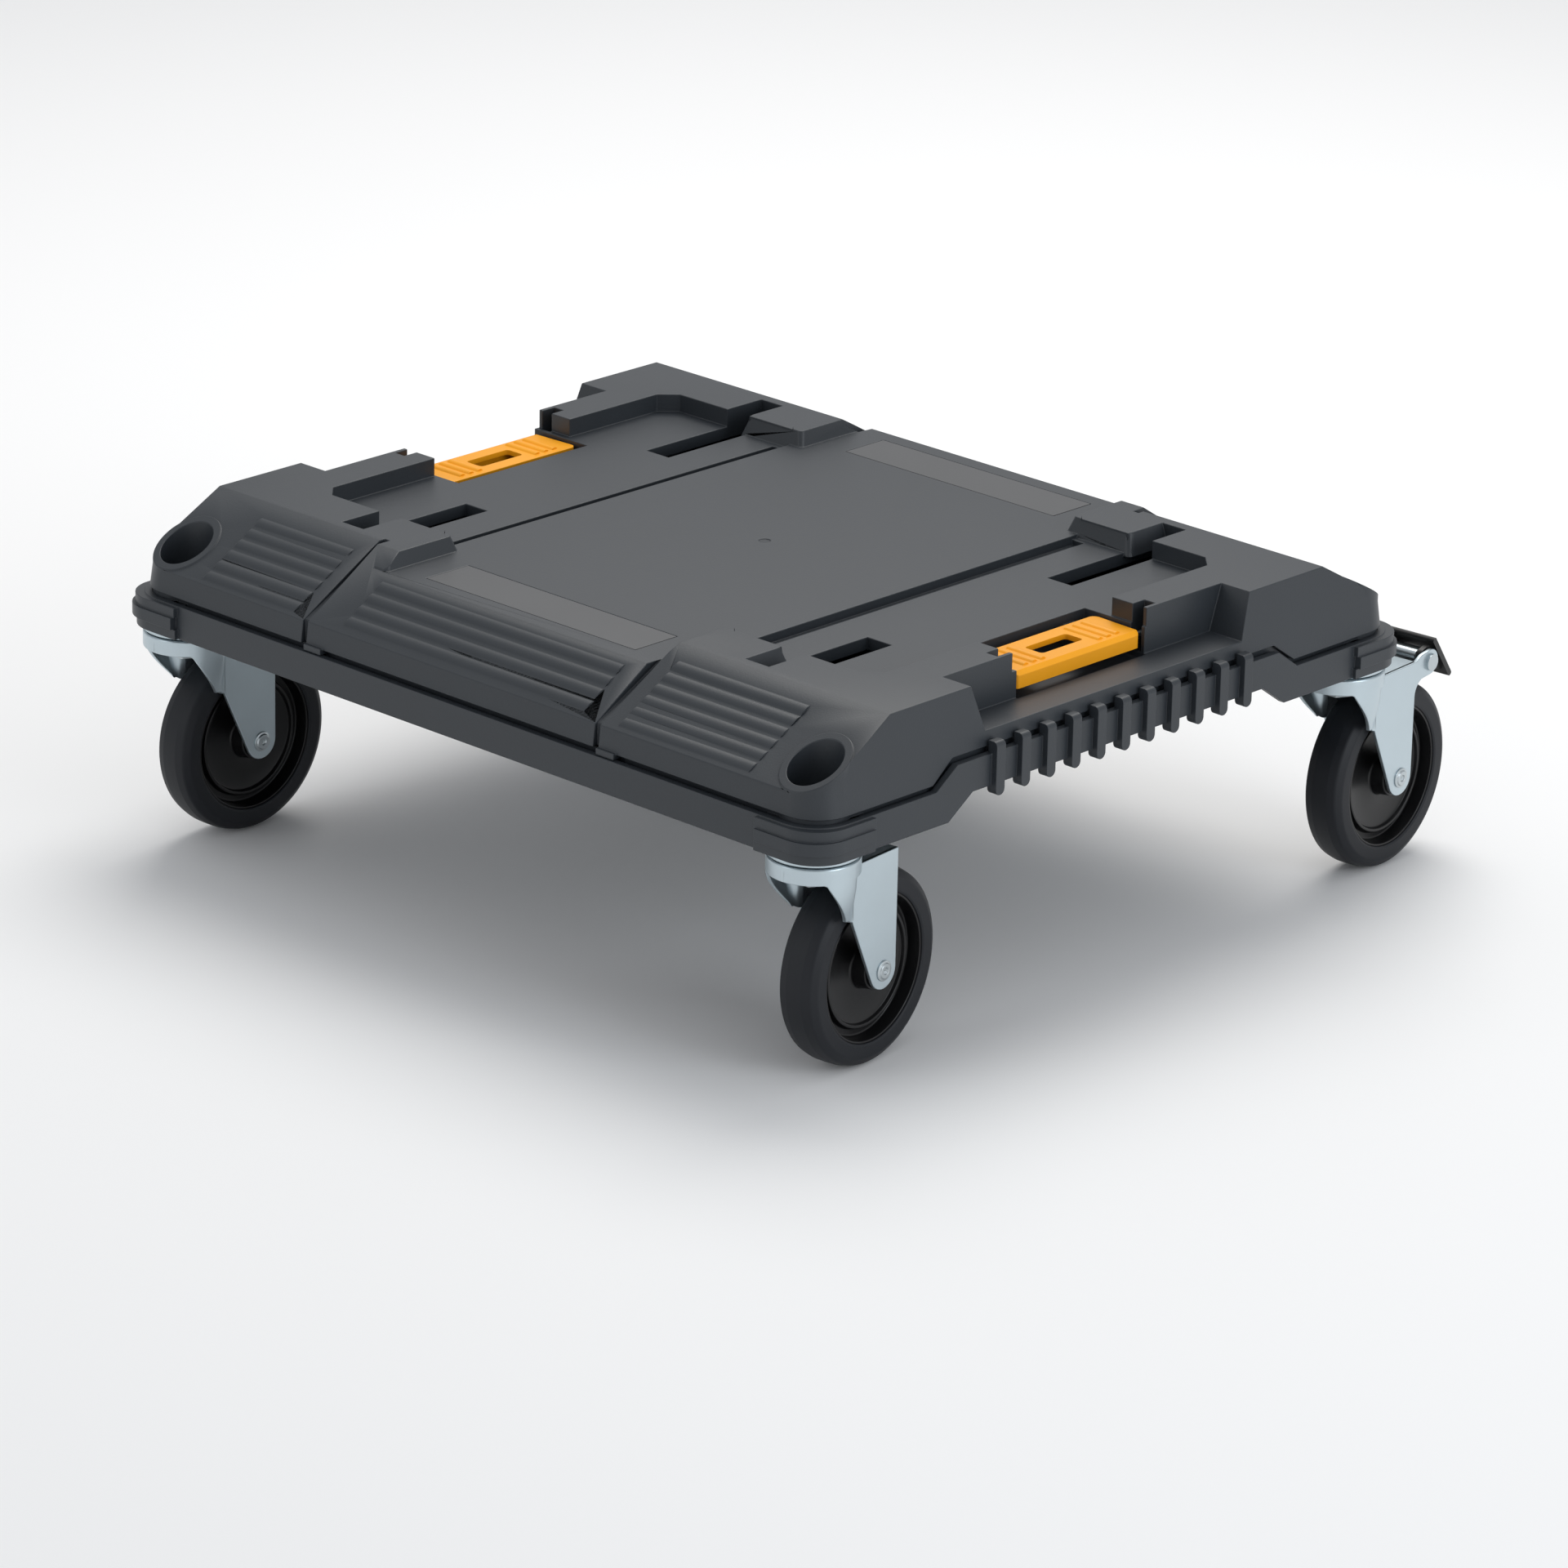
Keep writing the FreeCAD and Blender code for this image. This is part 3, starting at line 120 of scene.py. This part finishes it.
def finish_of(name, colour, rough, metal=0.0, grain=0.0, grain_size=0.0009, mottle=0.0, specular=0.5):
    """A surface with its own grain: fine bumps, and a colour and roughness that wander a little."""
    mat = bpy.data.materials.new(name)
    mat.use_nodes = True
    tree = mat.node_tree
    shader = tree.nodes["Principled BSDF"]
    shader.inputs["Base Color"].default_value = (*colour, 1)
    shader.inputs["Roughness"].default_value = rough
    shader.inputs["Metallic"].default_value = metal
    shader.inputs["Specular IOR Level"].default_value = specular
    place = tree.nodes.new("ShaderNodeTexCoord")
    if mottle:
        broad = tree.nodes.new("ShaderNodeTexNoise")
        broad.inputs["Scale"].default_value = MOTTLE_SCALE
        broad.inputs["Detail"].default_value = 4.0
        tree.links.new(place.outputs["Object"], broad.inputs["Vector"])
        wander = tree.nodes.new("ShaderNodeMapRange")
        wander.inputs["To Min"].default_value = rough - mottle
        wander.inputs["To Max"].default_value = rough + mottle
        tree.links.new(broad.outputs["Fac"], wander.inputs["Value"])
        tree.links.new(wander.outputs["Result"], shader.inputs["Roughness"])
        tint = tree.nodes.new("ShaderNodeMixRGB")
        tint.inputs["Color1"].default_value = (*[(1 - MOTTLE_TINT) * c for c in colour], 1)
        tint.inputs["Color2"].default_value = (*[(1 + MOTTLE_TINT) * c for c in colour], 1)
        tree.links.new(broad.outputs["Fac"], tint.inputs["Fac"])
        tree.links.new(tint.outputs["Color"], shader.inputs["Base Color"])
    if grain:
        fine = tree.nodes.new("ShaderNodeTexNoise")
        fine.inputs["Scale"].default_value = 1.0 / grain_size
        fine.inputs["Detail"].default_value = 2.0
        tree.links.new(place.outputs["Object"], fine.inputs["Vector"])
        bump = tree.nodes.new("ShaderNodeBump")
        bump.inputs["Strength"].default_value = grain
        bump.inputs["Distance"].default_value = GRAIN_DEPTH
        tree.links.new(fine.outputs["Fac"], bump.inputs["Height"])
        tree.links.new(bump.outputs["Normal"], shader.inputs["Normal"])
    return mat


def make_materials():
    """One material for each slot of the record."""
    return {
        "deck_plastic": finish_of("deck_plastic", (0.0245, 0.0295, 0.0355), 0.44, grain=0.45,
                                  mottle=0.03),
        "frame_plastic": finish_of("frame_plastic", (0.0235, 0.0285, 0.0345), 0.45, grain=0.45,
                                   mottle=0.03),
        "badge_plastic": finish_of("badge_plastic", (0.062, 0.063, 0.065), 0.38, grain=0.15, mottle=0.03),
        "latch_plastic": finish_of("latch_plastic", (0.88, 0.36, 0.006), 0.42, grain=0.1, mottle=0.03,
                                   specular=0.3),
        "tyre_rubber": finish_of("tyre_rubber", (0.0085, 0.0100, 0.0135), 0.52, grain=0.3, mottle=0.05,
                                 specular=0.32),
        "hub_plastic": finish_of("hub_plastic", (0.003, 0.003, 0.0035), 0.34, grain=0.1, mottle=0.05,
                                 specular=0.4),
        "pedal_black": finish_of("pedal_black", (0.006, 0.006, 0.006), 0.42, grain=0.2, mottle=0.05),
        "zinc_sheet": finish_of("zinc_sheet", (0.52, 0.60, 0.64), 0.36, metal=0.9, grain=0.25,
                                grain_size=0.0025, mottle=0.09),
        "bright_steel": finish_of("bright_steel", (0.50, 0.55, 0.57), 0.3, metal=1.0, grain=0.2,
                                  grain_size=0.002, mottle=0.08),
    }


# ------------------------------------------------------------------ helpers
def soften(obj, width):
    """Round the hard edges of a CAD mesh: close points merged, flat faces joined, then bevelled."""
    weld = obj.modifiers.new("weld", "WELD")
    weld.merge_threshold = MERGE_GAP
    flat = obj.modifiers.new("flat", "DECIMATE")
    flat.decimate_type = "DISSOLVE"
    flat.angle_limit = math.radians(FLAT_ANGLE)
    round_edges(obj, width, CAD_ANGLE, 3)


def round_edges(obj, width, angle, segments):
    """Bevel every edge sharper than an angle in degrees, with normals that keep the flats flat."""
    bevel = obj.modifiers.new("bevel", "BEVEL")
    bevel.width, bevel.segments, bevel.limit_method = width, segments, "ANGLE"
    bevel.angle_limit = math.radians(angle)
    bevel.use_clamp_overlap = False
    obj.modifiers.new("normals", "WEIGHTED_NORMAL").keep_sharp = False


def piece(name, verts, faces, material, place, body, smooth=True):
    """A mesh drawn in millimetres in a castor's own axes, put in its place and tied to a CAD body."""
    mesh = bpy.data.meshes.new(name)
    mesh.from_pydata([place @ (Vector(v) * MM) for v in verts], [], faces)
    build = bmesh.new()
    build.from_mesh(mesh)
    bmesh.ops.remove_doubles(build, verts=build.verts, dist=0.00001)
    bmesh.ops.recalc_face_normals(build, faces=build.faces)
    build.to_mesh(mesh)
    build.free()
    for face in mesh.polygons:
        face.use_smooth = smooth
    mesh.materials.append(material)
    obj = bpy.data.objects.new(name, mesh)
    bpy.context.scene.collection.objects.link(obj)
    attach(obj, body)
    return obj


def rounded(points, steps=5):
    """An open outline whose (u, v, radius) corners are turned into arcs."""
    out = []
    for index, point in enumerate(points):
        here = Vector(point[:2])
        radius = point[2] if len(point) > 2 else 0.0
        if not radius or index in (0, len(points) - 1):
            out.append(tuple(here))
            continue
        before = (Vector(points[index - 1][:2]) - here).normalized()
        after = (Vector(points[index + 1][:2]) - here).normalized()
        half = before.angle(after) / 2
        centre = here + (before + after).normalized() * (radius / math.sin(half))
        reach = radius / math.tan(half)
        start, end = here + before * reach - centre, here + after * reach - centre
        first = math.atan2(start.y, start.x)
        swing = (math.atan2(end.y, end.x) - first + math.pi) % (2 * math.pi) - math.pi
        for step in range(steps + 1):
            angle = first + swing * step / steps
            out.append((centre.x + radius * math.cos(angle), centre.y + radius * math.sin(angle)))
    return out


def lathe(profile, axis, centre, segments=96):
    """Vertices and faces of a closed profile of (radius, along) turned about an axis through a centre."""
    verts, faces = [], []
    count = len(profile)
    for turn in range(segments):
        angle = 2 * math.pi * turn / segments
        c, s = math.cos(angle), math.sin(angle)
        for radius, along in profile:
            local = (along, radius * c, radius * s) if axis == "x" else (radius * c, radius * s, along)
            verts.append(tuple(a + b for a, b in zip(local, centre)))
    for turn in range(segments):
        here, there = turn * count, (turn + 1) % segments * count
        for index in range(count):
            after = (index + 1) % count
            faces.append((here + index, here + after, there + after, there + index))
    return verts, faces


def mirrored(profile):
    """A profile for one half of a wheel, closed by its mirror image."""
    return profile + [(radius, -along) for radius, along in reversed(profile)]


# ------------------------------------------------------------------ castors
def castor_place(corner):
    """Turn and shift from a castor's own axes to the frame: swivel axis at its origin, wheel towards +Y."""
    swivel = Vector(JOINTS[f"swivel_{corner}"]["pos_m"])
    axis = JOINTS[f"wheel_{corner}_spin"]["axis"]
    yaw = math.atan2(axis[1], axis[0])
    return Matrix.Translation((swivel.x, swivel.y, 0)) @ Matrix.Rotation(yaw, 4, "Z")


def wheel_numbers(corner):
    """Trail and axle height in millimetres, from the two joints."""
    swivel = Vector(JOINTS[f"swivel_{corner}"]["pos_m"])
    wheel = Vector(JOINTS[f"wheel_{corner}_spin"]["pos_m"])
    return (wheel - swivel).xy.length / MM, wheel.z / MM


def tyre(corner, mats):
    """Rubber tread with rounded shoulders. It stands on the floor, so its radius is the axle's height."""
    trail, level = wheel_numbers(corner)
    outer = level
    half = rounded([(outer - 12.4, 4.0), (outer - 12.4, 11.0, 0.8), (outer - 11.2, 11.5, 0.8),
                    (outer - 5.0, 11.5, 3.0), (outer - 1.2, 9.2, 2.6), (outer - 0.1, 4.5, 3.0),
                    (outer, 0.0)], steps=6)
    verts, faces = lathe(mirrored(half[:-1] + [(outer, 0.4)]), "x", (0, trail, level), 128)
    obj = piece(f"tyre_{corner}_tread", verts, faces, mats["tyre_rubber"], castor_place(corner),
                f"wheel_{corner}")
    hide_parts(f"tyre_{corner}")


def hub(corner, mats):
    """Deep-dished wheel centre: a rim wall, a dark channel, a raised ring, a dished web and a boss."""
    trail, level = wheel_numbers(corner)
    rim = level - 12.2
    half = rounded([(7.2, 13.1), (10.6, 13.1, 0.8), (11.4, 4.4, 1.4), (20.0, 3.2), (29.6, 4.6, 0.6),
                    (30.2, 6.6, 0.5), (31.8, 6.6, 0.5), (32.6, 3.2, 0.8), (36.4, 3.2, 1.0),
                    (37.4, 10.4, 0.5), (rim, 10.6)], steps=4)
    verts, faces = lathe(mirrored(half), "x", (0, trail, level), 128)
    obj = piece(f"hub_{corner}_disc", verts, faces, mats["hub_plastic"], castor_place(corner),
                f"wheel_{corner}")
    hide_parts(f"hub_{corner}")


def upper_race(corner, mats):
    """Pressed race: a thin rolled rim above the fork's cup, and a ring that reaches down inside it."""
    low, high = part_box(f"upper_race_{corner}")
    top, foot = high.z / MM, low.z / MM
    rim = (high.x - low.x) / 2 / MM - 0.5
    profile = rounded([(8.2, top), (rim, top, 0.5), (rim, top - 2.2, 0.8), (20.4, top - 2.6, 0.5),
                       (20.2, foot, 0.5), (17.0, foot), (17.0, top - 2.6), (8.2, top - 2.6)])
    verts, faces = lathe(profile, "z", (0, 0, 0), 96)
    obj = piece(f"upper_race_{corner}_ring", verts, faces, mats["zinc_sheet"], castor_place(corner),
                "deck")
    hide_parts(f"upper_race_{corner}")


def leg_outline(trail, level, top, braked):
    """Flat part of a fork leg in (y, z), from the fold at its front, round the tip and back to the top."""
    tip, slant = TIP_RADIUS, 0.42
    points = [(FOLD_Y, top), (FOLD_Y, FOLD_FOOT)]
    for step in range(13):
        angle = math.pi + slant + (math.pi - slant) * step / 12
        points.append((trail + tip * math.cos(angle), level + tip * math.sin(angle)))
    if braked:
        ear, pivot, bend, bend_level = 7.0, (60.0, 109.5), 9, 93.5
        for step in range(7):
            angle = math.pi - math.pi / 2.6 * step / 6
            points.append((trail + tip + bend + bend * math.cos(angle),
                           bend_level + bend * math.sin(angle)))
        for step in range(13):
            angle = -math.pi / 2 + math.pi * step / 12
            points.append((pivot[0] + ear * math.cos(angle), pivot[1] + ear * math.sin(angle)))
        points.append((51.5, 115.4))
        points.append((47.0, top))
    else:
        points += [(trail + tip, 70.0), (trail + tip, 90.0), (trail + tip, top)]
    return points


def skirt_column(x, y):
    """Heights and places down one upright strip of a fork's skirt, at a point on its plan outline."""
    fold_width, fold_top, fold_rise, fold_lift = 4.9, 115.0, 3.4, 2.0
    skirt_start, skirt_span, skirt_fall, tuck, tuck_height = -36.0, 48.0, 0.9, 0.85, 24.0
    lip, lip_height = 0.9, 1.2
    turn = math.degrees(math.atan2(y, abs(x)))
    if abs(x) - LEG_X < fold_width and y > 6.5:
        share = (abs(x) - LEG_X) / fold_width
        high, foot = fold_top + fold_rise * share, FOLD_FOOT + fold_lift * share
    else:
        share = min(1.0, max(0.0, (turn - skirt_start) / skirt_span))
        high, foot = BAND_TOP, BAND_FOOT - (BAND_FOOT - FOLD_FOOT - fold_lift) * share ** skirt_fall
    column = []
    for part in (0.0, 0.04, 0.1, 0.25, 0.45, 0.65, 0.8, 0.92, 1.0):
        z = high - (high - foot) * part
        radius = math.hypot(x, y)
        pull = lip * max(0.0, 1 - (high - z) / lip_height) ** 2 if radius > 20 else 0.0
        inward = min(1.0, max(0.0, (BAND_FOOT - z) / tuck_height))
        side = 1 if x > 0 else -1
        across = x * (radius - pull) / radius
        if abs(across) > LEG_X:
            across = side * (LEG_X + (abs(across) - LEG_X) * (1 - tuck * inward ** 2))
        column.append((across, y * (radius - pull) / radius, z))
    return column


def fork_cup(top):
    """Bearing cup of a fork, turned about the swivel axis."""
    bore, step = 8.3, CUP_RADIUS - SHEET
    profile = rounded([(bore, top), (step, top, 1.0), (step, BAND_TOP, 0.5), (CUP_RADIUS, BAND_TOP, 1.2),
                       (CUP_RADIUS, 110.6, 0.5), (CUP_RADIUS - 1.6, 110.6), (bore, 109.8)])
    return lathe(profile, "z", (0, 0, 0), 96)


def add_fork_legs(verts, faces, outline):
    """Two flat legs from one outline. Their front edges stay open where the skirt meets them."""
    count = len(outline)
    for side in (-1, 1):
        base = len(verts)
        verts += [(side * LEG_X, y, z) for y, z in outline]
        verts += [(side * (LEG_X - SHEET), y, z) for y, z in outline]
        faces.append(tuple(base + i for i in range(count)))
        faces.append(tuple(base + count + i for i in reversed(range(count))))
        for index in range(1, count):
            after = (index + 1) % count
            faces.append((base + index, base + after, base + count + after, base + count + index))


def skirt_normal(ring, index):
    """Outward direction of the skirt's plan outline at one of its points."""
    if index in (0, len(ring) - 1):
        normal = Vector((1 if index == 0 else -1, 0))
    else:
        ahead, behind = ring[index + 1], ring[index - 1]
        normal = Vector((ahead[1] - behind[1], behind[0] - ahead[0])).normalized()
    return -normal if normal.dot(Vector(ring[index])) < 0 else normal


def add_fork_skirt(verts, faces):
    """Strips from each fold round to where they meet under the front of the cup, two layers thick."""
    plan = [(LEG_X, FOLD_Y), (LEG_X + 0.5, 10.2), (LEG_X + 1.5, 9.4), (LEG_X + 3.0, 8.4),
            (LEG_X + 4.8, 7.0)]
    turns, first, sweep = 52, 12, 204
    arc = [math.radians(first - sweep * step / turns) for step in range(turns + 1)]
    ring = plan + [(CUP_RADIUS * math.cos(a), CUP_RADIUS * math.sin(a)) for a in arc]
    ring += [(-x, y) for x, y in reversed(plan)]
    columns = [skirt_column(x, y) for x, y in ring]
    rows = len(columns[0])
    for layer in (0, 1):
        base = len(verts)
        for index, column in enumerate(columns):
            shift = skirt_normal(ring, index) * SHEET * layer
            verts += [(x - shift.x, y - shift.y, z) for x, y, z in column]
        for index in range(len(columns) - 1):
            for row in range(rows - 1):
                a = base + index * rows + row
                faces.append((a, a + 1, a + rows + 1, a + rows))
    gap = len(columns) * rows
    for index in range(len(columns) - 1):
        for edge in (0, rows - 1):
            a = base + index * rows + edge
            faces.append((a, a + rows, a + rows - gap, a - gap))


def add_fork_web(verts, faces, back, top):
    """Flat sheet that joins the tops of the legs behind the cup."""
    base = len(verts)
    edge, front = LEG_X - 0.1, 12.0
    web = [(edge, front), (edge, back), (-edge, back), (-edge, front)]
    verts += [(x, y, top) for x, y in web] + [(x, y, top - SHEET) for x, y in web]
    faces += [(base, base + 1, base + 2, base + 3), (base + 7, base + 6, base + 5, base + 4)]
    faces += [(base + i, base + (i + 1) % 4, base + 4 + (i + 1) % 4, base + 4 + i) for i in range(4)]


def fork(corner, mats, braked):
    """Pressed fork: a bearing cup, a skirt that runs from it down into two flat legs, and a web behind."""
    trail, level = wheel_numbers(corner)
    top = JOINTS[f"swivel_{corner}"]["pos_m"][2] / MM
    leg_top = top + 1.0
    verts, faces = fork_cup(top)
    add_fork_legs(verts, faces, leg_outline(trail, level, leg_top, braked))
    add_fork_skirt(verts, faces)
    add_fork_web(verts, faces, trail + TIP_RADIUS, leg_top)
    obj = piece(f"fork_{corner}_sheet", verts, faces, mats["zinc_sheet"], castor_place(corner),
                f"swivel_{corner}")
    round_edges(obj, SHEET_EDGE, SHEET_ANGLE, 2)
    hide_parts(f"fork_{corner}")


def axle_head(corner, mats):
    """Domed axle head with a ring and a dimple, and its shank through to the nut."""
    trail, level = wheel_numbers(corner)
    face, shank, shank_end, centre = LEG_X, 3.9, -24.0, 0.01
    profile = rounded([(centre, shank_end), (shank, shank_end), (shank, face), (5.4, face),
                       (5.4, face + 0.7, 0.3), (4.3, face + 0.9, 0.2), (3.7, face + 1.6, 0.4),
                       (1.9, face + 1.6, 0.3), (1.5, face + 0.9, 0.2), (centre, face + 0.9)])
    verts, faces = lathe(profile, "x", (0, trail, level), 48)
    obj = piece(f"axle_bolt_{corner}_head", verts, faces, mats["bright_steel"], castor_place(corner),
                f"swivel_{corner}")
    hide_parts(f"axle_bolt_{corner}")


def add_prism(verts, faces, at, sides, radius, low, high):
    """Upright prism with a regular outline, added to a mesh in millimetres."""
    base = len(verts)
    turns = [2 * math.pi * step / sides for step in range(sides)]
    for z in (low, high):
        verts += [(at.x + radius * math.cos(a), at.y + radius * math.sin(a), z) for a in turns]
    faces.append(tuple(base + i for i in reversed(range(sides))))
    faces.append(tuple(base + sides + i for i in range(sides)))
    faces += [(base + i, base + (i + 1) % sides, base + sides + (i + 1) % sides, base + sides + i)
              for i in range(sides)]


def mounting_bolts(mats):
    """Hex bolts down through the sockets and their low nuts under the forks, one piece of each."""
    _, bolt_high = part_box("castor_bolts")
    _, washer_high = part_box("castor_washers")
    seat, hex_radius = washer_high.z / MM, 17.0 / math.sqrt(3)
    shank_radius, shank_foot, nut_low, nut_high = 5.0, 103.5, 104.6, 109.6
    head = (6, hex_radius, seat, bolt_high.z / MM)
    shank = (32, shank_radius, shank_foot, seat)
    nut = (6, hex_radius, nut_low, nut_high)
    for name, node, prisms in (("castor_bolt_heads", "castor_bolts", (head, shank)),
                               ("castor_nut_hexes", "castor_nuts", (nut,))):
        verts, faces = [], []
        for corner in CORNERS:
            at = Vector(JOINTS[f"swivel_{corner}"]["pos_m"]) / MM
            for prism in prisms:
                add_prism(verts, faces, at, *prism)
        obj = piece(name, verts, faces, mats["bright_steel"], Matrix.Identity(4), "deck",
                    False)
        round_edges(obj, HEX_EDGE, HEX_ANGLE, 2)
        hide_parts(node)


def add_castors(mats):
    """The pieces that replace CAD solids on each of the four castors."""
    for corner in CORNERS:
        tyre(corner, mats)
        hub(corner, mats)
        upper_race(corner, mats)
        fork(corner, mats, corner.startswith("rear"))
        axle_head(corner, mats)


# ------------------------------------------------------------------ the scene
add_camera()
add_studio()
MATERIALS = make_materials()
for part in frame["record"]["subparts"]:
    node = NODES[part["node"]]
    node.data.materials.clear()
    node.data.materials.append(MATERIALS[part["material_slot"]])
soften(NODES["deck_shell"], DECK_EDGE)
soften(NODES["base_frame"], FRAME_EDGE)
for name in ("latch_left", "latch_right", "front_badge", "rear_badge"):
    soften(NODES[name], TRIM_EDGE)
add_castors(MATERIALS)
mounting_bolts(MATERIALS)
bpy.context.scene.view_settings.view_transform = "Standard"
